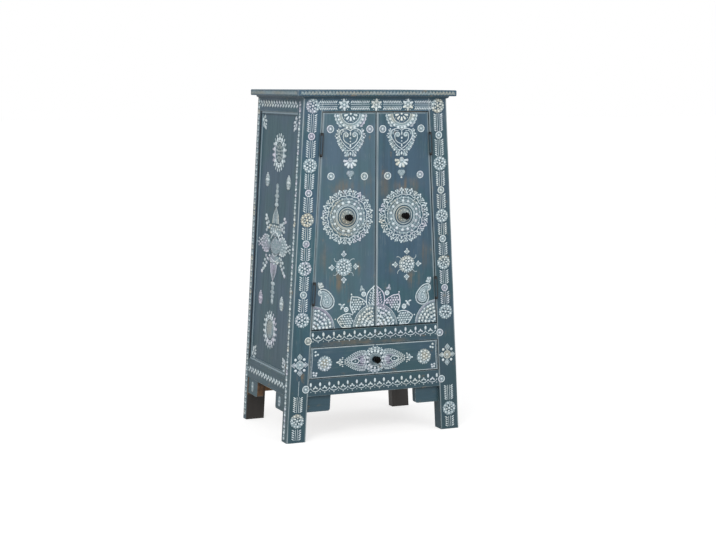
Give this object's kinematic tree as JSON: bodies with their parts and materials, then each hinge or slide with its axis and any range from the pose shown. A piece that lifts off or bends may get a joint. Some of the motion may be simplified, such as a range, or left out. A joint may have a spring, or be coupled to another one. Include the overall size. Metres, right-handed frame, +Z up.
{
  "type": "painted cabinet",
  "caption": "Tall painted wooden cupboard on legs, sides leaning in towards the top, with a pair of hinged inset doors above an inset drawer and raised painted ornament.",
  "frame": {"origin": "on the floor, in the middle of the whole outline with the knobs", "axes": "+X to the right seen from the front, the front faces -Y, +Z up"},
  "size_m": [0.604, 0.44, 1.1],
  "materials": {
    "painted_wood": "worn teal-blue paint with raised off-white ornament",
    "bare_wood": "sawn and oiled wood",
    "knob_iron": "black cast iron",
    "hinge_steel": "dark aged steel"
  },
  "bodies": {
    "carcase": {"back_boards": "bare_wood", "cornice_beads": "painted_wood", "cupboard_floor": "bare_wood", "cupboard_shelf": "bare_wood", "door_stop": "bare_wood", "front_bottom_rail": "painted_wood", "front_middle_rail": "painted_wood", "front_top_rail": "painted_wood", "left_drawer_kicker": "bare_wood", "left_drawer_runner": "bare_wood", "left_front_bracket": "painted_wood", "left_front_post": "painted_wood", "left_hinge_pins": "hinge_steel", "left_jamb_leaves": "painted_wood", "left_panel_beads": "painted_wood", "left_rear_post": "painted_wood", "left_side_bottom_rail": "painted_wood", "left_side_front_bracket": "painted_wood", "left_side_panel": "painted_wood", "left_side_rear_bracket": "painted_wood", "left_side_top_rail": "painted_wood", "rear_bottom_rail": "bare_wood", "rear_top_rail": "bare_wood", "right_drawer_kicker": "bare_wood", "right_drawer_runner": "bare_wood", "right_front_bracket": "painted_wood", "right_front_post": "painted_wood", "right_hinge_pins": "hinge_steel", "right_jamb_leaves": "painted_wood", "right_panel_beads": "painted_wood", "right_rear_post": "painted_wood", "right_side_bottom_rail": "painted_wood", "right_side_front_bracket": "painted_wood", "right_side_panel": "painted_wood", "right_side_rear_bracket": "painted_wood", "right_side_top_rail": "painted_wood", "shelf_cleats": "bare_wood", "top_board": "painted_wood"},
    "left_door": {"left_door_battens": "bare_wood", "left_door_knob": "knob_iron", "left_door_knob_nut": "knob_iron", "left_door_leaves": "painted_wood", "left_door_panel": "painted_wood"},
    "right_door": {"right_door_battens": "bare_wood", "right_door_knob": "knob_iron", "right_door_knob_nut": "knob_iron", "right_door_leaves": "painted_wood", "right_door_panel": "painted_wood"},
    "drawer": {"drawer_front": "painted_wood", "drawer_left_side": "bare_wood", "drawer_right_side": "bare_wood", "drawer_back": "bare_wood", "drawer_bottom": "bare_wood", "drawer_knob": "knob_iron", "drawer_knob_nut": "knob_iron"}
  },
  "joints": [
    {"name": "left_door_hinge", "type": "hinge", "parent": "carcase", "child": "left_door", "pos_m": [-0.21165, -0.1972, 0.469], "axis": [-0.0545, 0, -0.9985], "range_deg": [0, 170]},
    {"name": "right_door_hinge", "type": "hinge", "parent": "carcase", "child": "right_door", "pos_m": [0.21165, -0.1972, 0.469], "axis": [-0.0545, 0, 0.9985], "range_deg": [0, 170]},
    {"name": "drawer_slide", "type": "slide", "parent": "carcase", "child": "drawer", "axis": [0, -1, 0], "range_m": [0, 0.27]}
  ]
}
